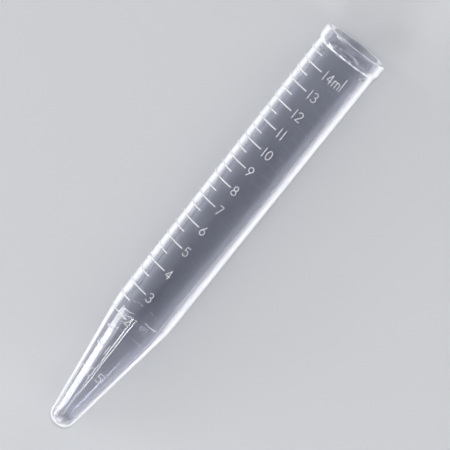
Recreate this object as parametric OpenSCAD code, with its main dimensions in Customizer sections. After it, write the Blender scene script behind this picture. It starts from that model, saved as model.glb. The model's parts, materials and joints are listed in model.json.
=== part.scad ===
// Clear 15 ml conical tube, open at the mouth, moulded in one piece.
// The wall is one half section turned about the tube's axis. Graduation ribs stand at the heights
// that the bore's own volume gives. The finished tube lies on its side, on its collar and shoulder.

/* [Body] */
// Overall length, from the blunt tip to the mouth
tube_length = 120; // [112:0.5:135]
// Outside diameter just under the collar
body_top_d = 16.7; // [16.2:0.05:17]
// Outside diameter at the shoulder, where the cone begins
shoulder_d = 15.8; // [15:0.05:16.3]
// Radius that softens the outer edge of the shoulder
shoulder_round = 12; // [4:1:30]
// Diameter of the parallel upper bore
bore_d = 14.6; // [14:0.05:15]

/* [Cone] */
// Height of the cone outside, from the tip to the shoulder
cone_length = 35; // [30:0.5:42]
// Outside diameter that the cone reaches at the tip, before its edge is rounded
cone_tip_d = 5.9; // [5:0.1:7]
// Radius of the edge round the blunt tip
tip_round = 2.5; // [1:0.1:2.6]
// Thickness of the cone's wall, square to the axis
cone_wall = 1.04; // [0.8:0.02:1.3]
// Thickness of the floor in the tip
floor_thickness = 1.7; // [1.2:0.1:2.5]
// Radius between the floor and the cone inside
floor_round = 1.6; // [0.8:0.1:1.9]
// How far the cone ends inside, below the shoulder outside
bore_shoulder_drop = 5; // [3:0.5:8]
// Height over which the bore widens above the cone
bore_taper_height = 45; // [30:1:60]

/* [Mouth] */
// Outside diameter of the collar round the mouth
collar_d = 17.6; // [17.2:0.05:18.5]
// Height of the collar's straight side, lip included
collar_height = 2.9; // [2.2:0.1:6]
// Height of the slope from the collar down to the body
collar_slope_height = 1.1; // [0.5:0.1:3]
// Radius that softens the top and the foot of the collar's slope
collar_round = 0.8; // [0.2:0.1:0.8]
// Diameter of the parallel seat for a plug, inside the mouth
plug_seat_d = 15; // [14.8:0.05:15.5]
// Depth of the plug's seat, lip included
plug_seat_depth = 5; // [3:0.1:5.5]
// Height over which the bore widens to the plug's seat
seat_lead_height = 0.6; // [0.3:0.1:2]
// Radius of the lip's two edges
lip_round = 0.55; // [0.2:0.05:0.6]

/* [Graduations] */
// Volume at the highest rib, in millilitres
top_volume = 14.5; // [10:0.5:14.5]
// Volume between two ribs, in millilitres
volume_step = 0.5; // [0.25:0.25:1]
// Volume up to which the ribs are short, in millilitres
short_ribs_below = 2; // [0:1:3]
// Width of a rib at its root
rib_width = 0.42; // [0.3:0.02:0.8]
// Width of a rib along its crest
rib_crest = 0.16; // [0.1:0.02:0.3]
// How far a rib stands off the wall
rib_height = 0.15; // [0.1:0.01:0.3]
// Angle from the number column to a whole millilitre's rib
whole_rib_start = 19; // [16:1:30]
// Angle from the number column to a part millilitre's rib
part_rib_start = 37; // [32:1:50]
// Angle from the number column at which the ribs end
rib_end = 108; // [90:1:150]
// Angle from the number column to a short rib
short_rib_start = 32; // [25:1:40]
// Angle that a short rib takes up
short_rib_span = 16; // [8:1:30]

/* [Hidden] */
$fn = 96;

arc_step = 7.5;      // largest turn between two points of a rounded corner, in degrees
rib_sink = 0.2;      // how far a rib's root reaches into the wall
mm3_per_ml = 1000;
half_turn = 180;

// Outside of the wall
shoulder_r = shoulder_d / 2;
cone_tip_r = cone_tip_d / 2;
body_top_r = body_top_d / 2;
collar_r = collar_d / 2;
collar_edge_z = tube_length - collar_height;
collar_foot_z = collar_edge_z - collar_slope_height;
cone_flare = (shoulder_r - cone_tip_r) / cone_length;
body_flare = (body_top_r - shoulder_r) / (collar_foot_z - cone_length);

// Inside of the wall
bore_r = bore_d / 2;
plug_seat_r = plug_seat_d / 2;
bore_cone_z = cone_length - bore_shoulder_drop;
bore_full_z = bore_cone_z + bore_taper_height;
seat_z = tube_length - plug_seat_depth;
floor_r = cone_tip_r + cone_flare * floor_thickness - cone_wall;
bore_cone_r = cone_tip_r + cone_flare * bore_cone_z - cone_wall;
bore_flare = (bore_r - bore_cone_r) / bore_taper_height;

// Points on the arc that rounds corner b, between its neighbours a and c
function rounded_corner(a, b, c, radius) =
    let (
        to_a = (a - b) / norm(a - b),
        to_c = (c - b) / norm(c - b),
        opening = acos(to_a * to_c),
        centre = b + (to_a + to_c) / norm(to_a + to_c) * radius / sin(opening / 2),
        first = b + to_a * radius / tan(opening / 2) - centre,
        last = b + to_c * radius / tan(opening / 2) - centre,
        steps = ceil((half_turn - opening) / arc_step),
        side = sign(first.x * last.y - first.y * last.x)
    )
    [for (i = [0 : steps])
        let (turn = side * (half_turn - opening) * i / steps)
        centre + [first.x * cos(turn) - first.y * sin(turn), first.x * sin(turn) + first.y * cos(turn)]];

// An outline whose corners are [radius from the axis, height, rounding], with 0 for a sharp corner
function rounded_outline(corners) =
    [for (i = [0 : len(corners) - 1])
        let (
            a = corners[(i + len(corners) - 1) % len(corners)],
            b = corners[i],
            c = corners[(i + 1) % len(corners)],
            arc = b[2] > 0 ? rounded_corner([a.x, a.y], [b.x, b.y], [c.x, c.y], b[2]) : [[b.x, b.y]]
        )
        each arc];

// Half section of the wall: up the outside, over the lip and down the inside
wall_section = rounded_outline([
    [0, 0, 0],
    [cone_tip_r, 0, tip_round],
    [shoulder_r, cone_length, shoulder_round],
    [body_top_r, collar_foot_z, collar_round],
    [collar_r, collar_edge_z, collar_round],
    [collar_r, tube_length, lip_round],
    [plug_seat_r, tube_length, lip_round],
    [plug_seat_r, seat_z, 0],
    [bore_r, seat_z - seat_lead_height, 0],
    [bore_r, bore_full_z, 0],
    [bore_cone_r, bore_cone_z, 0],
    [floor_r, floor_thickness, floor_round],
    [0, floor_thickness, 0]
]);

// Outside radius of the body or cone at height z
function outer_r(z) = z < cone_length
    ? cone_tip_r + cone_flare * z
    : shoulder_r + body_flare * (z - cone_length);

// Volume held by the rounded floor, up to where its arc meets the cone
cone_lean = atan(cone_flare);
floor_arc_top = floor_thickness + floor_round * (1 - sin(cone_lean));
floor_flat_r = floor_r - floor_round * (1 / cos(cone_lean) - tan(cone_lean));
floor_volume = PI * (
    floor_flat_r ^ 2 * floor_round * (1 - sin(cone_lean))
    + floor_flat_r * floor_round ^ 2 * (PI * (90 - cone_lean) / 180 - sin(cone_lean) * cos(cone_lean))
    + floor_round ^ 3 * (2 / 3 - sin(cone_lean) + sin(cone_lean) ^ 3 / 3));

// Volume of a tapered stretch of bore, and the height that a volume fills in one
function stretch_volume(r, flare, height) =
    PI / 3 * height * (r ^ 2 + r * (r + flare * height) + (r + flare * height) ^ 2);
function filled_height(r, flare, volume) = ((r ^ 3 + 3 * flare * volume / PI) ^ (1 / 3) - r) / flare;

floor_arc_r = floor_r + cone_flare * (floor_arc_top - floor_thickness);
cone_volume = floor_volume + stretch_volume(floor_arc_r, cone_flare, bore_cone_z - floor_arc_top);
taper_volume = cone_volume + stretch_volume(bore_cone_r, bore_flare, bore_taper_height);

// Height at which the tube holds a volume, in cubic millimetres
function fill_z(volume) =
    volume < cone_volume ? floor_arc_top + filled_height(floor_arc_r, cone_flare, volume - floor_volume)
    : volume < taper_volume ? bore_cone_z + filled_height(bore_cone_r, bore_flare, volume - cone_volume)
    : bore_full_z + (volume - taper_volume) / (PI * bore_r ^ 2);

// Lying on its side, the tube leans until a point of its outside meets the floor beside the collar
lean = min([for (p = wall_section)
    if (p.y < collar_foot_z - collar_round) atan((collar_r - p.x) / (collar_edge_z - p.y))]);
axis_lift = max([for (p = wall_section) p.x * cos(lean) - p.y * sin(lean)]);
tip_end_x = min([for (p = wall_section) p.y * cos(lean) - p.x * sin(lean)]);
mouth_end_x = max([for (p = wall_section) p.y * cos(lean) + p.x * sin(lean)]);

// One raised rib across the wall at height z, from angle start over angle span
module rib(z, start, span) {
    rotate([0, 0, -start - span])
        rotate_extrude(angle = span)
            translate([outer_r(z), z])
                polygon([
                    [-rib_sink, -rib_width / 2],
                    [0, -rib_width / 2],
                    [rib_height, -rib_crest / 2],
                    [rib_height, rib_crest / 2],
                    [0, rib_width / 2],
                    [-rib_sink, rib_width / 2]
                ]);
}

// A rib for each step of volume that fits under the collar, to the left of the number column
module graduation() {
    for (volume = [volume_step : volume_step : top_volume]) {
        z = fill_z(volume * mm3_per_ml);
        is_whole = volume == floor(volume);
        if (z < collar_foot_z - rib_width) {
            if (volume < short_ribs_below)
                rib(z, short_rib_start, short_rib_span);
            else
                rib(z, is_whole ? whole_rib_start : part_rib_start,
                    rib_end - (is_whole ? whole_rib_start : part_rib_start));
        }
    }
}

// The tube lies along X with its mouth towards +X and its number column upwards
module tube() {
    color([0.86, 0.89, 0.95, 0.4])
        translate([-(tip_end_x + mouth_end_x) / 2, 0, axis_lift])
            rotate([0, 90 - lean, 0])
                rotate([0, 0, half_turn])
                    union() {
                        rotate_extrude()
                            polygon(wall_section);
                        graduation();
                    }
}

tube();
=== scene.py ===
import json
from math import asin, ceil, cos, degrees, pi, radians, sin, tan

import bmesh
import bpy
from mathutils import Matrix, Vector


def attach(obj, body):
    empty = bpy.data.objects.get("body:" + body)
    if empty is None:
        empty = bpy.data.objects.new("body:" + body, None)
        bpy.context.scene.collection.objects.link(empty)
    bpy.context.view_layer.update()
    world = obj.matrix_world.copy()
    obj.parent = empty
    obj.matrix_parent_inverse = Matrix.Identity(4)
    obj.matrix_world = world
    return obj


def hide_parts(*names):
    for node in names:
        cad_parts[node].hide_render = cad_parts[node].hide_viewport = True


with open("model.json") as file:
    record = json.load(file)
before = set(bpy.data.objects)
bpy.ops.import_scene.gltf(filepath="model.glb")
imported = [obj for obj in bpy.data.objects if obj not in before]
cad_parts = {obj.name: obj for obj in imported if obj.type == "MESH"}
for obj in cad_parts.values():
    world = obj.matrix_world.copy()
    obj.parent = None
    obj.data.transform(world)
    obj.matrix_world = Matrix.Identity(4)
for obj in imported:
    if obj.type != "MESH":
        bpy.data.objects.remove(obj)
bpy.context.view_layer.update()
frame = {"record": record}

# How the tube lies: a conical tube can't stand, so it rests on its side on the collar and the
# shoulder. The plug's seat gives the line of its axis. Z runs up the tube from the tip's end, in
# millimetres, and the number column faces away from the floor.
MM = 0.001
tube_length = 120.0
plug_seat_depth = 5.0
lip_round = 0.55

mounts = {mount["name"]: mount for mount in frame["record"]["mounts"]}
tube_axis = Vector(mounts["plug_seat"]["axis"]).normalized()
plug_seat_middle = Vector(mounts["plug_seat"]["pos_m"])
plug_seat_middle_z = tube_length - (plug_seat_depth + lip_round) / 2
tip_end = plug_seat_middle - tube_axis * plug_seat_middle_z * MM
number_side = (Vector((0, 0, 1)) - tube_axis * tube_axis.z).normalized()
sideways = tube_axis.cross(number_side)
lying = Matrix((number_side, sideways, tube_axis)).transposed().to_4x4()
lying.translation = tip_end
lying = lying @ Matrix.Diagonal((MM, MM, MM, 1))


# Tube wall: one injection moulding in clear general-purpose polystyrene, with a polished core and
# cavity. The half section goes up the outside, over the lip and down the bore to the floor, and
# is spun about the axis.
shoulder_z = 35.0
shoulder_r = 7.9
shoulder_round = 12.0
cone_tip_r = 2.95
tip_round = 2.5
body_top_r = 8.35
collar_r = mounts["collar"]["dims"]["r_mm"]
collar_height = 2.9
collar_slope_height = 1.1
collar_round = 0.8
plug_seat_r = mounts["plug_seat"]["dims"]["r_mm"]
seat_lead_height = 0.6
seat_round = 0.3
bore_r = 7.3
bore_shoulder_drop = 5.0
bore_taper_height = 45.0
bore_taper_round, bore_cone_round = 60.0, 8.0
cone_wall = 1.04
floor_thickness = 1.7
floor_round = 1.6

collar_edge_z = tube_length - collar_height
collar_foot_z = collar_edge_z - collar_slope_height
seat_z = tube_length - plug_seat_depth
bore_cone_z = shoulder_z - bore_shoulder_drop
bore_full_z = bore_cone_z + bore_taper_height
cone_flare = (shoulder_r - cone_tip_r) / shoulder_z
body_flare = (body_top_r - shoulder_r) / (collar_foot_z - shoulder_z)
floor_r = cone_tip_r + cone_flare * floor_thickness - cone_wall
bore_cone_r = cone_tip_r + cone_flare * bore_cone_z - cone_wall

half_section = [  # radius from the axis, height, rounding
    (0, 0, 0),
    (cone_tip_r, 0, tip_round),
    (shoulder_r, shoulder_z, shoulder_round),
    (body_top_r, collar_foot_z, collar_round),
    (collar_r, collar_edge_z, collar_round),
    (collar_r, tube_length, lip_round),
    (plug_seat_r, tube_length, lip_round),
    (plug_seat_r, seat_z, seat_round),
    (bore_r, seat_z - seat_lead_height, seat_round),
    (bore_r, bore_full_z, bore_taper_round),
    (bore_cone_r, bore_cone_z, bore_cone_round),
    (floor_r, floor_thickness, floor_round),
    (0, floor_thickness, 0),
]
steps_round = 288
degrees_per_step = 7.5
longest_ring_gap = 3.0
weld = 1e-4  # points closer than this, in millimetres, become one


def turn_at(before, corner, after):
    """The angle by which an outline turns at a corner."""
    return (corner - before).angle(after - corner)


def spun_wall(corners):
    """A closed wall: the outline's corners are rounded, and it is spun about Z."""
    mesh = bmesh.new()
    points = [mesh.verts.new((r, 0, z)) for r, z, _ in corners]
    for start, end in zip(points, points[1:]):
        mesh.edges.new((start, end))
    places = [point.co.copy() for point in points]
    for i in range(1, len(corners) - 1):
        turn = turn_at(*places[i - 1:i + 2])
        bmesh.ops.bevel(mesh, geom=[points[i]], affect="VERTICES", offset_type="OFFSET",
                        offset=corners[i][2] * tan(turn / 2), profile=0.5, material=-1,
                        segments=max(2, ceil(degrees(turn) / degrees_per_step)))
    for edge in [e for e in mesh.edges if e.calc_length() > longest_ring_gap]:
        cuts = int(edge.calc_length() / longest_ring_gap)
        bmesh.ops.subdivide_edges(mesh, edges=[edge], cuts=cuts)
    bmesh.ops.spin(mesh, geom=mesh.verts[:] + mesh.edges[:], axis=(0, 0, 1), cent=(0, 0, 0),
                   angle=2 * pi, steps=steps_round, use_merge=True)
    bmesh.ops.remove_doubles(mesh, verts=mesh.verts, dist=weld)
    bmesh.ops.dissolve_degenerate(mesh, edges=mesh.edges, dist=weld / 10)
    bmesh.ops.recalc_face_normals(mesh, faces=mesh.faces)
    return mesh


def as_piece(mesh, name):
    """An object from a bmesh, linked to the scene."""
    data = bpy.data.meshes.new(name)
    mesh.to_mesh(data)
    mesh.free()
    piece = bpy.data.objects.new(name, data)
    bpy.context.scene.collection.objects.link(piece)
    return piece


clear_tube = as_piece(spun_wall(half_section), "clear_tube")
clear_tube.data.materials.append(None)  # the polished wall
clear_tube.data.materials.append(None)  # the frosted ribs and numerals


# Graduation: the mould's cavity was cut with small round-nosed cutters, so every rib and numeral
# stands off the wall as a half-round ridge with round ends. Each path is drawn flat, with its
# length round the wall across and its height up the tube, and then wrapped onto the wall.
rib_cutter_r, rib_depth = 0.18, 0.15
numeral_cutter_r, numeral_depth = 0.12, 0.1
path_step = 0.35
degrees_per_point = 20
whole_rib_start = radians(19)
part_rib_start = radians(37)
rib_end = radians(108)
short_rib_start = radians(32)
short_rib_end = radians(48)
top_volume = 14.5
short_ribs_below = 2
mm3_per_ml = 1000
slice_height = 0.01
floor_rounding_height = 0.3  # the floor's rounding holds as much as this height of straight cone
shortest_edge = 0.002


def outer_r(z):
    """Outside radius of the cone or the body at height z."""
    if z < shoulder_z:
        return cone_tip_r + cone_flare * z
    return shoulder_r + body_flare * (z - shoulder_z)


def inner_r(z):
    """Radius of the bore at height z, above the floor's rounding."""
    if z < bore_cone_z:
        return cone_tip_r + cone_flare * z - cone_wall
    share = min(1, (z - bore_cone_z) / (bore_full_z - bore_cone_z))
    return bore_cone_r + (bore_r - bore_cone_r) * share


def fill_heights(volumes):
    """The heights that volumes in millilitres reach in the bore, by adding up thin slices."""
    z, held, heights = floor_thickness + floor_rounding_height, 0.0, []
    for volume in volumes:
        while held < volume * mm3_per_ml:
            held += pi * inner_r(z) ** 2 * slice_height
            z += slice_height
        heights.append(z)
    return heights


def arc(across, up, wide, high, start, end):
    """Points along part of an ellipse, from one angle to another in degrees."""
    steps = max(3, round(abs(end - start) / degrees_per_point))
    angles = [radians(start + (end - start) * i / steps) for i in range(steps + 1)]
    return [(across + wide * cos(a), up + high * sin(a)) for a in angles]


# Strokes of each character in a cell one numeral high, and how far on the next one starts. No
# stroke crosses itself.
GLYPHS = {
    "0": ([arc(0.28, 0.5, 0.26, 0.48, 90, 450)], 0.7),
    "1": ([[(0.16, 0.0), (0.16, 1.0)]], 0.47),
    "2": ([arc(0.27, 0.73, 0.25, 0.26, 165, -38) + [(0.04, 0.02), (0.54, 0.02)]], 0.7),
    "3": ([arc(0.25, 0.76, 0.23, 0.23, 150, -90), arc(0.25, 0.27, 0.27, 0.26, 90, -150)], 0.7),
    "4": ([[(0.42, 0.0), (0.42, 0.98)], [(0.42, 0.98), (0.02, 0.3), (0.58, 0.3)]], 0.72),
    "5": ([[(0.5, 0.98), (0.1, 0.98), (0.07, 0.56)], arc(0.26, 0.32, 0.26, 0.3, 125, -145)], 0.7),
    "6": ([arc(0.28, 0.29, 0.25, 0.28, 90, 450), [(0.44, 0.98), (0.05, 0.38)]], 0.7),
    "7": ([[(0.04, 0.98), (0.54, 0.98), (0.2, 0.0)]], 0.68),
    "8": ([arc(0.28, 0.74, 0.21, 0.23, 90, 450), arc(0.28, 0.26, 0.26, 0.25, 90, 450)], 0.7),
    "9": ([arc(0.28, 0.71, 0.25, 0.28, 90, 450), [(0.12, 0.02), (0.51, 0.62)]], 0.7),
    "m": ([[(0.06, 0.0), (0.06, 0.66)], arc(0.23, 0.46, 0.17, 0.2, 180, 0) + [(0.4, 0.0)],
           arc(0.57, 0.46, 0.17, 0.2, 180, 0) + [(0.74, 0.0)]], 0.92),
    "l": ([[(0.1, 0.0), (0.1, 1.4)]], 0.3),
    ".": ([[(0.16, 0.02), (0.16, 0.1)]], 0.4),
}


def written(text, left, middle_z, height):
    """The strokes of a number, with its left edge and middle height in place. Those that cross
    are dealt out to two cuts, so there is one list per cut."""
    strokes = [[], []]
    for character in text:
        glyph, advance = GLYPHS[character]
        for i, stroke in enumerate(glyph):
            placed = [(left + u * height, middle_z + (v - 0.5) * height) for u, v in stroke]
            strokes[i % 2].append(placed)
        left += advance * height
    return strokes


def in_short_steps(stroke):
    """The same stroke with no step longer than path_step, so that it can follow the wall."""
    points = [Vector(stroke[0])]
    for end in map(Vector, stroke[1:]):
        start = points[-1]
        steps = max(1, ceil((end - start).length / path_step))
        points += [start.lerp(end, i / steps) for i in range(1, steps + 1)]
    return points


def round_end(end, inside, cutter_r):
    """Points from a stroke's end towards its inside, with the shares of the bar's radius there."""
    inward = (inside - end).normalized()
    turns_in = [radians(a) for a in (8, 30, 60)]
    return [(end - inward * cutter_r * cos(a), sin(a)) for a in turns_in]


def ridges(strokes, cutter_r):
    """Round bars with round ends along flat strokes, as one mesh."""
    curve = bpy.data.curves.new("ridges", "CURVE")
    curve.dimensions = "3D"
    curve.bevel_depth = cutter_r
    curve.bevel_resolution = 2
    curve.use_fill_caps = True
    for stroke in strokes:
        points = in_short_steps(stroke)
        closed = (points[0] - points[-1]).length < cutter_r / 10
        if closed:
            knots = [(point, 1) for point in points[:-1]]
        else:
            knots = round_end(points[0], points[1], cutter_r) + [(point, 1) for point in points]
            knots += round_end(points[-1], points[-2], cutter_r)[::-1]
        spline = curve.splines.new("POLY")
        spline.points.add(len(knots) - 1)
        spline.use_cyclic_u = closed
        for knot, (point, share) in zip(spline.points, knots):
            knot.co = (point.x, point.y, 0, 1)
            knot.radius = share
    holder = bpy.data.objects.new("ridges", curve)
    bpy.context.scene.collection.objects.link(holder)
    mesh = bmesh.new()
    mesh.from_mesh(bpy.data.meshes.new_from_object(holder))
    bpy.data.objects.remove(holder)
    bmesh.ops.remove_doubles(mesh, verts=mesh.verts, dist=weld)
    bmesh.ops.recalc_face_normals(mesh, faces=mesh.faces)
    return mesh


def wrap_onto_wall(mesh, drop):
    """Moves flat ridges onto the wall, sunk by drop: across becomes an angle, up a height."""
    for vert in mesh.verts:
        across, z, out = vert.co
        wall = outer_r(z)
        angle = across / wall
        r = wall + out - drop
        vert.co = (r * cos(angle), r * sin(angle), z)


def cut_into_mould(strokes, cutter_r, depth):
    """Joins ridges to the tube's wall; no two strokes of one cut may cross."""
    bars = ridges(strokes, cutter_r)
    wrap_onto_wall(bars, cutter_r - depth)
    for face in bars.faces:
        face.material_index = 1
    relief = as_piece(bars, "relief")
    relief.data.materials.append(None)
    relief.data.materials.append(None)
    join = clear_tube.modifiers.new("relief", "BOOLEAN")
    join.operation = "UNION"
    join.object = relief
    join.solver = "MANIFOLD"
    joined = clear_tube.evaluated_get(bpy.context.evaluated_depsgraph_get())
    clear_tube.data = bpy.data.meshes.new_from_object(joined)
    clear_tube.modifiers.clear()
    bpy.data.objects.remove(relief)


volumes = [i / 2 for i in range(1, int(top_volume * 2) + 1)]
rib_heights = dict(zip(volumes, fill_heights(volumes)))
rib_strokes = []
for volume, z in rib_heights.items():
    start = whole_rib_start if volume == int(volume) else part_rib_start
    end = rib_end
    if volume < short_ribs_below:
        start, end = short_rib_start, short_rib_end
    rib_strokes.append([(-start * outer_r(z), z), (-end * outer_r(z), z)])

numeral_height = 2.45
number_left = -1.85
special_numbers = {14: ("14ml", -1.8), 2: ("2", -2.6), 1: ("1", -1.9), 0.5: ("0.5", -2.0)}
first_strokes, second_strokes = [], []
for volume in [0.5] + list(range(1, 15)):
    text, left = special_numbers.get(volume, (str(volume), number_left))
    first, second = written(text, left, rib_heights[volume], numeral_height)
    first_strokes += first
    second_strokes += second

cut_into_mould(rib_strokes, rib_cutter_r, rib_depth)
cut_into_mould(first_strokes, numeral_cutter_r, numeral_depth)
cut_into_mould(second_strokes, numeral_cutter_r, numeral_depth)

# Slivers left where ridges meet the wall are merged, and the tube is laid down. Weighted normals
# keep the straight walls flat up to their roundings.
moulded = clear_tube.data
joints = bmesh.new()
joints.from_mesh(moulded)
bmesh.ops.remove_doubles(joints, verts=joints.verts, dist=shortest_edge)
bmesh.ops.dissolve_degenerate(joints, edges=joints.edges, dist=shortest_edge)
joints.to_mesh(moulded)
joints.free()
moulded.transform(lying)
moulded.polygons.foreach_set("use_smooth", [True] * len(moulded.polygons))
moulded.set_sharp_from_angle(angle=radians(35))
straight_walls = clear_tube.modifiers.new("straight_walls", "WEIGHTED_NORMAL")
straight_walls.mode = "FACE_AREA"
straight_walls.keep_sharp = True

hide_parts("tube")
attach(clear_tube, "root")


# Polished polystyrene: general-purpose polystyrene moulded against a polished cavity and core, so
# it is water clear and glossy, with faint waves where it flowed. Its high refractive index gives
# the wall its bright rims, and a painted edge sheen on the flanks whitens them further.
def linear(hex_colour):
    """A linear colour from an sRGB hex value."""
    channels = [int(hex_colour[i:i + 2], 16) / 255 for i in (1, 3, 5)]
    return [c / 12.92 if c <= 0.04045 else ((c + 0.055) / 1.055) ** 2.4 for c in channels] + [1]


def new_material(name):
    """The node tree of an empty node material, and the material."""
    material = bpy.data.materials.new(name)
    material.use_nodes = True
    material.node_tree.nodes.clear()
    return material.node_tree, material


def add_node(tree, kind, settings=None, **inputs):
    """A node with its settings, and its inputs as values or as links from other nodes' sockets."""
    node = tree.nodes.new(kind)
    for name, value in (settings or {}).items():
        setattr(node, name, value)
    for name, value in inputs.items():
        socket = node.inputs[name.replace("_", " ")]
        if isinstance(value, bpy.types.NodeSocket):
            tree.links.new(value, socket)
        else:
            socket.default_value = value
    return node


polystyrene_ior = 1.59
flow_mark_mm = 9.0
flow_mark_depth_mm = 0.002
scuff_mm = 1.2
drawn_out = 0.3  # flow marks and scuffs are longer along the tube than across it
# Painted edge sheen: how clear the wall stays at its whitest, and where it starts and is full.
sheen_clearness = 0.12
sheen_from_cone, sheen_from_body, sheen_full = 0.45, 0.29, 0.6
sheen_change_height = 10
flank_from, flank_full = 0.89, 0.66
# Tip's end: where its dull white patches are full and where they have cleared, in mm up the tube.
dull_tip_edge_z, dull_tip_end_z = 3.6, 0.8
# Painted highlight line at the collar's foot: its height, and its half width in mm.
foot_highlight_z = collar_foot_z + 0.3
foot_highlight_mm = 0.25
smooth_step = {"interpolation_type": "SMOOTHSTEP"}

tree, polished_polystyrene = new_material("polished_polystyrene")
coordinates = add_node(tree, "ShaderNodeTexCoord")
along_flow = add_node(tree, "ShaderNodeMapping", Vector=coordinates.outputs["Object"],
                      Scale=(drawn_out / MM, 1 / MM, 1 / MM))
flow_marks = add_node(tree, "ShaderNodeTexNoise", Vector=along_flow.outputs["Vector"],
                      Scale=1 / flow_mark_mm, Detail=2.0, Roughness=0.45)
waves = add_node(tree, "ShaderNodeBump", Height=flow_marks.outputs["Fac"], Strength=1.0,
                 Distance=flow_mark_depth_mm * MM)
scuffs = add_node(tree, "ShaderNodeTexNoise", Vector=along_flow.outputs["Vector"],
                  Scale=1 / scuff_mm, Detail=4.0, Roughness=0.65)
gloss = add_node(tree, "ShaderNodeMapRange", Value=scuffs.outputs["Fac"],
                 From_Min=0.42, From_Max=0.72, To_Min=0.02, To_Max=0.07)

# Height up the tube in millimetres, for the marks that lie at one height.
up_axis = add_node(tree, "ShaderNodeMapping", Vector=coordinates.outputs["Object"],
                   Location=(-tube_axis.dot(tip_end) / MM, 0, 0),
                   Rotation=(0, asin(tube_axis.z), 0), Scale=(1 / MM, 1 / MM, 1 / MM))
tube_z = add_node(tree, "ShaderNodeSeparateXYZ", Vector=up_axis.outputs["Vector"])

# Painted edge sheen: the wall turns from clear to white where it is seen edge on, standing in for
# the bright rims that side light gives. It lies only on the tube's two flanks, where the low side
# glows fall, and keeps nearer to the edge on the cone.
edge = add_node(tree, "ShaderNodeLayerWeight", Blend=0.5)
sheen_from = add_node(tree, "ShaderNodeMapRange", Value=tube_z.outputs["X"],
                     From_Min=bore_cone_z, From_Max=bore_cone_z + sheen_change_height,
                     To_Min=sheen_from_cone, To_Max=sheen_from_body)
edge_sheen = add_node(tree, "ShaderNodeMapRange", smooth_step, Value=edge.outputs["Facing"],
                     From_Min=sheen_from.outputs["Result"], From_Max=sheen_full)
surface = add_node(tree, "ShaderNodeNewGeometry")
outward = add_node(tree, "ShaderNodeSeparateXYZ", Vector=surface.outputs["Normal"])
upright = add_node(tree, "ShaderNodeMath", {"operation": "ABSOLUTE"}, Value=outward.outputs["Z"])
flank = add_node(tree, "ShaderNodeMapRange", smooth_step, Value=upright.outputs["Value"],
                 From_Min=flank_from, From_Max=flank_full)
painted_sheen = add_node(tree, "ShaderNodeMapRange", Value=edge_sheen.outputs["Result"],
                To_Max=flank.outputs["Result"])

# Tip's end: dull and white in patches, clearing to the plain wall a few millimetres up the cone.
dull_tip_grain = add_node(tree, "ShaderNodeMapRange", Value=scuffs.outputs["Fac"],
                      From_Min=0.4, From_Max=0.6, To_Min=0.0, To_Max=0.5)
dull_tip_clearness = add_node(tree, "ShaderNodeMapRange", Value=tube_z.outputs["X"],
                          From_Min=dull_tip_end_z, From_Max=dull_tip_edge_z,
                          To_Min=dull_tip_grain.outputs["Result"], To_Max=1.0)
# The wall's clearness: the tip's dull patches, and the painted edge sheen towards the flanks.
wall_clearness = add_node(tree, "ShaderNodeMapRange", Value=painted_sheen.outputs["Result"],
                          To_Min=dull_tip_clearness.outputs["Result"], To_Max=sheen_clearness)

# Painted highlight: a fine white line round the tube just above the collar's foot, broken up by
# the scuff noise, standing in for the bright line that lamps draw on the collar's slope.
line_offset = add_node(tree, "ShaderNodeMapRange", Value=tube_z.outputs["X"],
                       From_Min=foot_highlight_z - foot_highlight_mm,
                       From_Max=foot_highlight_z + foot_highlight_mm, To_Min=-1.0, To_Max=1.0)
off_line = add_node(tree, "ShaderNodeMath", {"operation": "ABSOLUTE"},
                    Value=line_offset.outputs["Result"])
line_grain = add_node(tree, "ShaderNodeMapRange", Value=scuffs.outputs["Fac"],
                      From_Min=0.4, From_Max=0.6, To_Min=0.05, To_Max=0.8)
line_clearness = add_node(tree, "ShaderNodeMapRange", Value=line_grain.outputs["Result"],
                          To_Max=wall_clearness.outputs["Result"])
clearness = add_node(tree, "ShaderNodeMapRange", smooth_step, Value=off_line.outputs["Value"],
                     From_Min=0.4, To_Min=line_clearness.outputs["Result"],
                     To_Max=wall_clearness.outputs["Result"])
# Transmission carries the painted edge sheen and the painted highlight line at the collar's foot.
shader = add_node(tree, "ShaderNodeBsdfPrincipled", Base_Color=linear("#F5F6FD"),
                  Roughness=gloss.outputs["Result"], IOR=polystyrene_ior,
                  Transmission_Weight=clearness.outputs["Result"],
                  Normal=waves.outputs["Normal"])
add_node(tree, "ShaderNodeOutputMaterial", Surface=shader.outputs["BSDF"])
moulded.materials[0] = polished_polystyrene


# Frosted polystyrene: the same plastic where the cutter left its fine marks in the cavity, so the
# ribs and numerals scatter light and read white against the clear wall. The real marks are too
# fine to show, so they are drawn coarser.
cutter_mark_mm = 0.45
tree, frosted_polystyrene = new_material("frosted_polystyrene")
coordinates = add_node(tree, "ShaderNodeTexCoord")
in_mm = add_node(tree, "ShaderNodeMapping", Vector=coordinates.outputs["Object"],
                 Scale=(1 / MM, 1 / MM, 1 / MM))
cutter_marks = add_node(tree, "ShaderNodeTexNoise", Vector=in_mm.outputs["Vector"],
                        Scale=1 / cutter_mark_mm, Detail=3.0, Roughness=0.6)
clearness = add_node(tree, "ShaderNodeMapRange", Value=cutter_marks.outputs["Fac"],
                     From_Min=0.35, From_Max=0.65, To_Min=0.15, To_Max=0.6)
shader = add_node(tree, "ShaderNodeBsdfPrincipled", Base_Color=linear("#FBFCFF"),
                  Roughness=0.45, IOR=polystyrene_ior,
                  Transmission_Weight=clearness.outputs["Result"])
add_node(tree, "ShaderNodeOutputMaterial", Surface=shader.outputs["BSDF"])
moulded.materials[1] = frosted_polystyrene


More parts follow.
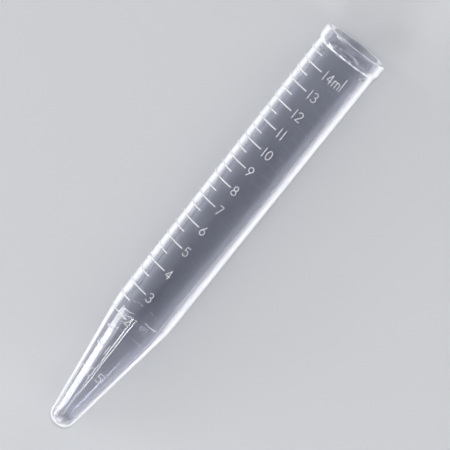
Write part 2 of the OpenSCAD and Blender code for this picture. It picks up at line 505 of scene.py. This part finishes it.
# Floor: a plain pale grey table top in matt laminate, wide enough for every view. Its soft, even
# surface shows the tube's faint shadow and no reflection.
floor_half_width = 1.2
floor_mesh = bmesh.new()
bmesh.ops.create_grid(floor_mesh, x_segments=1, y_segments=1, size=floor_half_width)
table_top = as_piece(floor_mesh, "floor")
tree, pale_grey_laminate = new_material("pale_grey_laminate")
shader = add_node(tree, "ShaderNodeBsdfPrincipled", Base_Color=linear("#C4C6CA"), Roughness=0.6)
add_node(tree, "ShaderNodeOutputMaterial", Surface=shader.outputs["BSDF"])
table_top.data.materials.append(pale_grey_laminate)


# Room: a dim studio with a pale backdrop low behind the table. The camera and the clear plastic
# see it, but it lights nothing, and the ceiling is dim, so the clear wall isn't veiled.
room_light = 0.1
backdrop = 0.5
sweep_low, sweep_high = 0.08, 0.4

world = bpy.data.worlds.new("studio")
world.use_nodes = True
bpy.context.scene.world = world
tree = world.node_tree
tree.nodes.clear()
direction = add_node(tree, "ShaderNodeTexCoord")
height = add_node(tree, "ShaderNodeSeparateXYZ", Vector=direction.outputs["Generated"])
sweep = add_node(tree, "ShaderNodeMapRange", smooth_step, Value=height.outputs["Z"],
                 From_Min=sweep_low, From_Max=sweep_high, To_Min=backdrop, To_Max=room_light)
ray = add_node(tree, "ShaderNodeLightPath")
strength = add_node(tree, "ShaderNodeMapRange", Value=ray.outputs["Is Diffuse Ray"],
                    To_Min=sweep.outputs["Result"], To_Max=room_light)
room = add_node(tree, "ShaderNodeBackground", Color=linear("#FFFFFF"),
                Strength=strength.outputs["Result"])
add_node(tree, "ShaderNodeOutputWorld", Surface=room.outputs["Background"])


# Lamps: a small one overhead, whose shadow stays hidden under the tube, so that the clear wall
# shows the shaded floor and its edges show the lit floor. Glows from low at the sides light the
# painted edge sheen on the flanks, and strips, hoops and softboxes draw the highlights on the
# cone, shoulder and lip.
overhead_share = 0.28
overhead_distance = 1.5
overhead_tilt = radians(14)
lamp_aim_z = 0.01
cone_x = -0.042
shoulder_x = -0.025

overhead = bpy.data.lights.new("overhead", "POINT")
overhead.energy = overhead_share * pi * 4 * pi * overhead_distance ** 2
overhead.shadow_soft_size = 0.02
overhead_lamp = bpy.data.objects.new("overhead", overhead)
overhead_lamp.location = (overhead_distance * sin(overhead_tilt), 0,
                          overhead_distance * cos(overhead_tilt))
overhead_lamp.visible_camera = False
bpy.context.scene.collection.objects.link(overhead_lamp)


def softbox(name, aim_x, tilt, side, distance, size, radiance, mirrored=True, spread=180):
    """A rectangular lamp that faces the tube at aim_x, its size given along and across the tube.
    It is tilted from overhead towards the mouth, and to the right of the number column, by angles
    in degrees. One that isn't mirrored only lights what scatters light."""
    lamp = bpy.data.lights.new(name, "AREA")
    lamp.shape = "RECTANGLE"
    lamp.size, lamp.size_y = size
    lamp.energy = radiance * pi * size[0] * size[1]
    lamp.spread = radians(spread)
    tilt, side = radians(tilt), radians(side)
    back = Vector((sin(tilt), -sin(side) * cos(tilt), cos(side) * cos(tilt)))
    along_tube = (Vector((1, 0, 0)) - back * back.x).normalized()
    turned = Matrix((along_tube, back.cross(along_tube), back)).transposed().to_4x4()
    turned.translation = Vector((aim_x, 0, lamp_aim_z)) + back * distance
    holder = bpy.data.objects.new(name, lamp)
    holder.matrix_world = turned
    holder.visible_camera = False
    holder.visible_glossy = mirrored
    holder.visible_transmission = mirrored
    bpy.context.scene.collection.objects.link(holder)


softbox("left_glow", aim_x=0, tilt=0, side=-83, distance=0.7, size=(1.0, 0.14), radiance=0.75,
        mirrored=False, spread=60)
softbox("right_glow", aim_x=0.05, tilt=0, side=83, distance=0.7, size=(1.0, 0.14), radiance=1.5,
        mirrored=False, spread=60)
softbox("tip_glow", aim_x=-0.06, tilt=-66, side=10, distance=0.6, size=(0.2, 0.3), radiance=5,
        mirrored=False)
softbox("mouth_softbox", aim_x=0.05, tilt=60, side=0, distance=0.9, size=(0.3, 1.2), radiance=2.6)
softbox("tip_softbox", aim_x=0.0565, tilt=-51, side=0, distance=0.95, size=(0.12, 0.6),
        radiance=4.5)
for side in (-6, -18):
    softbox("cone_strip", cone_x, tilt=-28.3, side=side, distance=1.0, size=(0.17, 0.024),
            radiance=34)
softbox("cone_side_low", cone_x, tilt=-28.3, side=-76, distance=1.0, size=(0.3, 0.4), radiance=8)
softbox("cone_side_high", cone_x, tilt=-28.3, side=-54, distance=1.0, size=(0.3, 0.3),
        radiance=2.2)
for side in (-50, 50):
    softbox("far_hoop", shoulder_x, tilt=-0.4, side=side, distance=2.0, size=(0.02, 2.2),
            radiance=22)
    softbox("far_hoop_thin", shoulder_x, tilt=-1.3, side=side, distance=2.0, size=(0.008, 2.2),
            radiance=22)
    softbox("near_hoop", shoulder_x, tilt=-20.5, side=side * 1.1, distance=2.0, size=(0.06, 2.1),
            radiance=9)


# Camera: at 0.9 m from the middle of the tube, a little towards the mouth's end, and rolled so
# that the tube lies across the view, from its tip at the lower left to its mouth at the upper
# right.
sight_z = 60.0
camera_distance = 0.9
lens_mm = 293.81
towards_mouth = radians(10)
roll = radians(38.45)
aim_right, aim_up = 4.877, 2.745  # how far beside the middle of the tube the camera aims, in mm

sight = tip_end + tube_axis * sight_z * MM
back_to_camera = number_side * cos(towards_mouth) + tube_axis * sin(towards_mouth)
place = sight + back_to_camera * camera_distance
along = (tube_axis - back_to_camera * tube_axis.dot(back_to_camera)).normalized()
across = along.cross(back_to_camera)
up = along * cos(roll) - across * sin(roll)
right = along * sin(roll) + across * cos(roll)
aim = sight + (right * aim_right + up * aim_up) * MM
forward = (aim - place).normalized()
right = forward.cross(up).normalized()
up = right.cross(forward)

camera = bpy.data.cameras.new("camera")
camera.lens = lens_mm
camera_object = bpy.data.objects.new("camera", camera)
turned = Matrix((right, up, -forward)).transposed().to_4x4()
turned.translation = place
camera_object.matrix_world = turned
bpy.context.scene.collection.objects.link(camera_object)
bpy.context.scene.camera = camera_object
bpy.context.scene.view_settings.view_transform = "Standard"
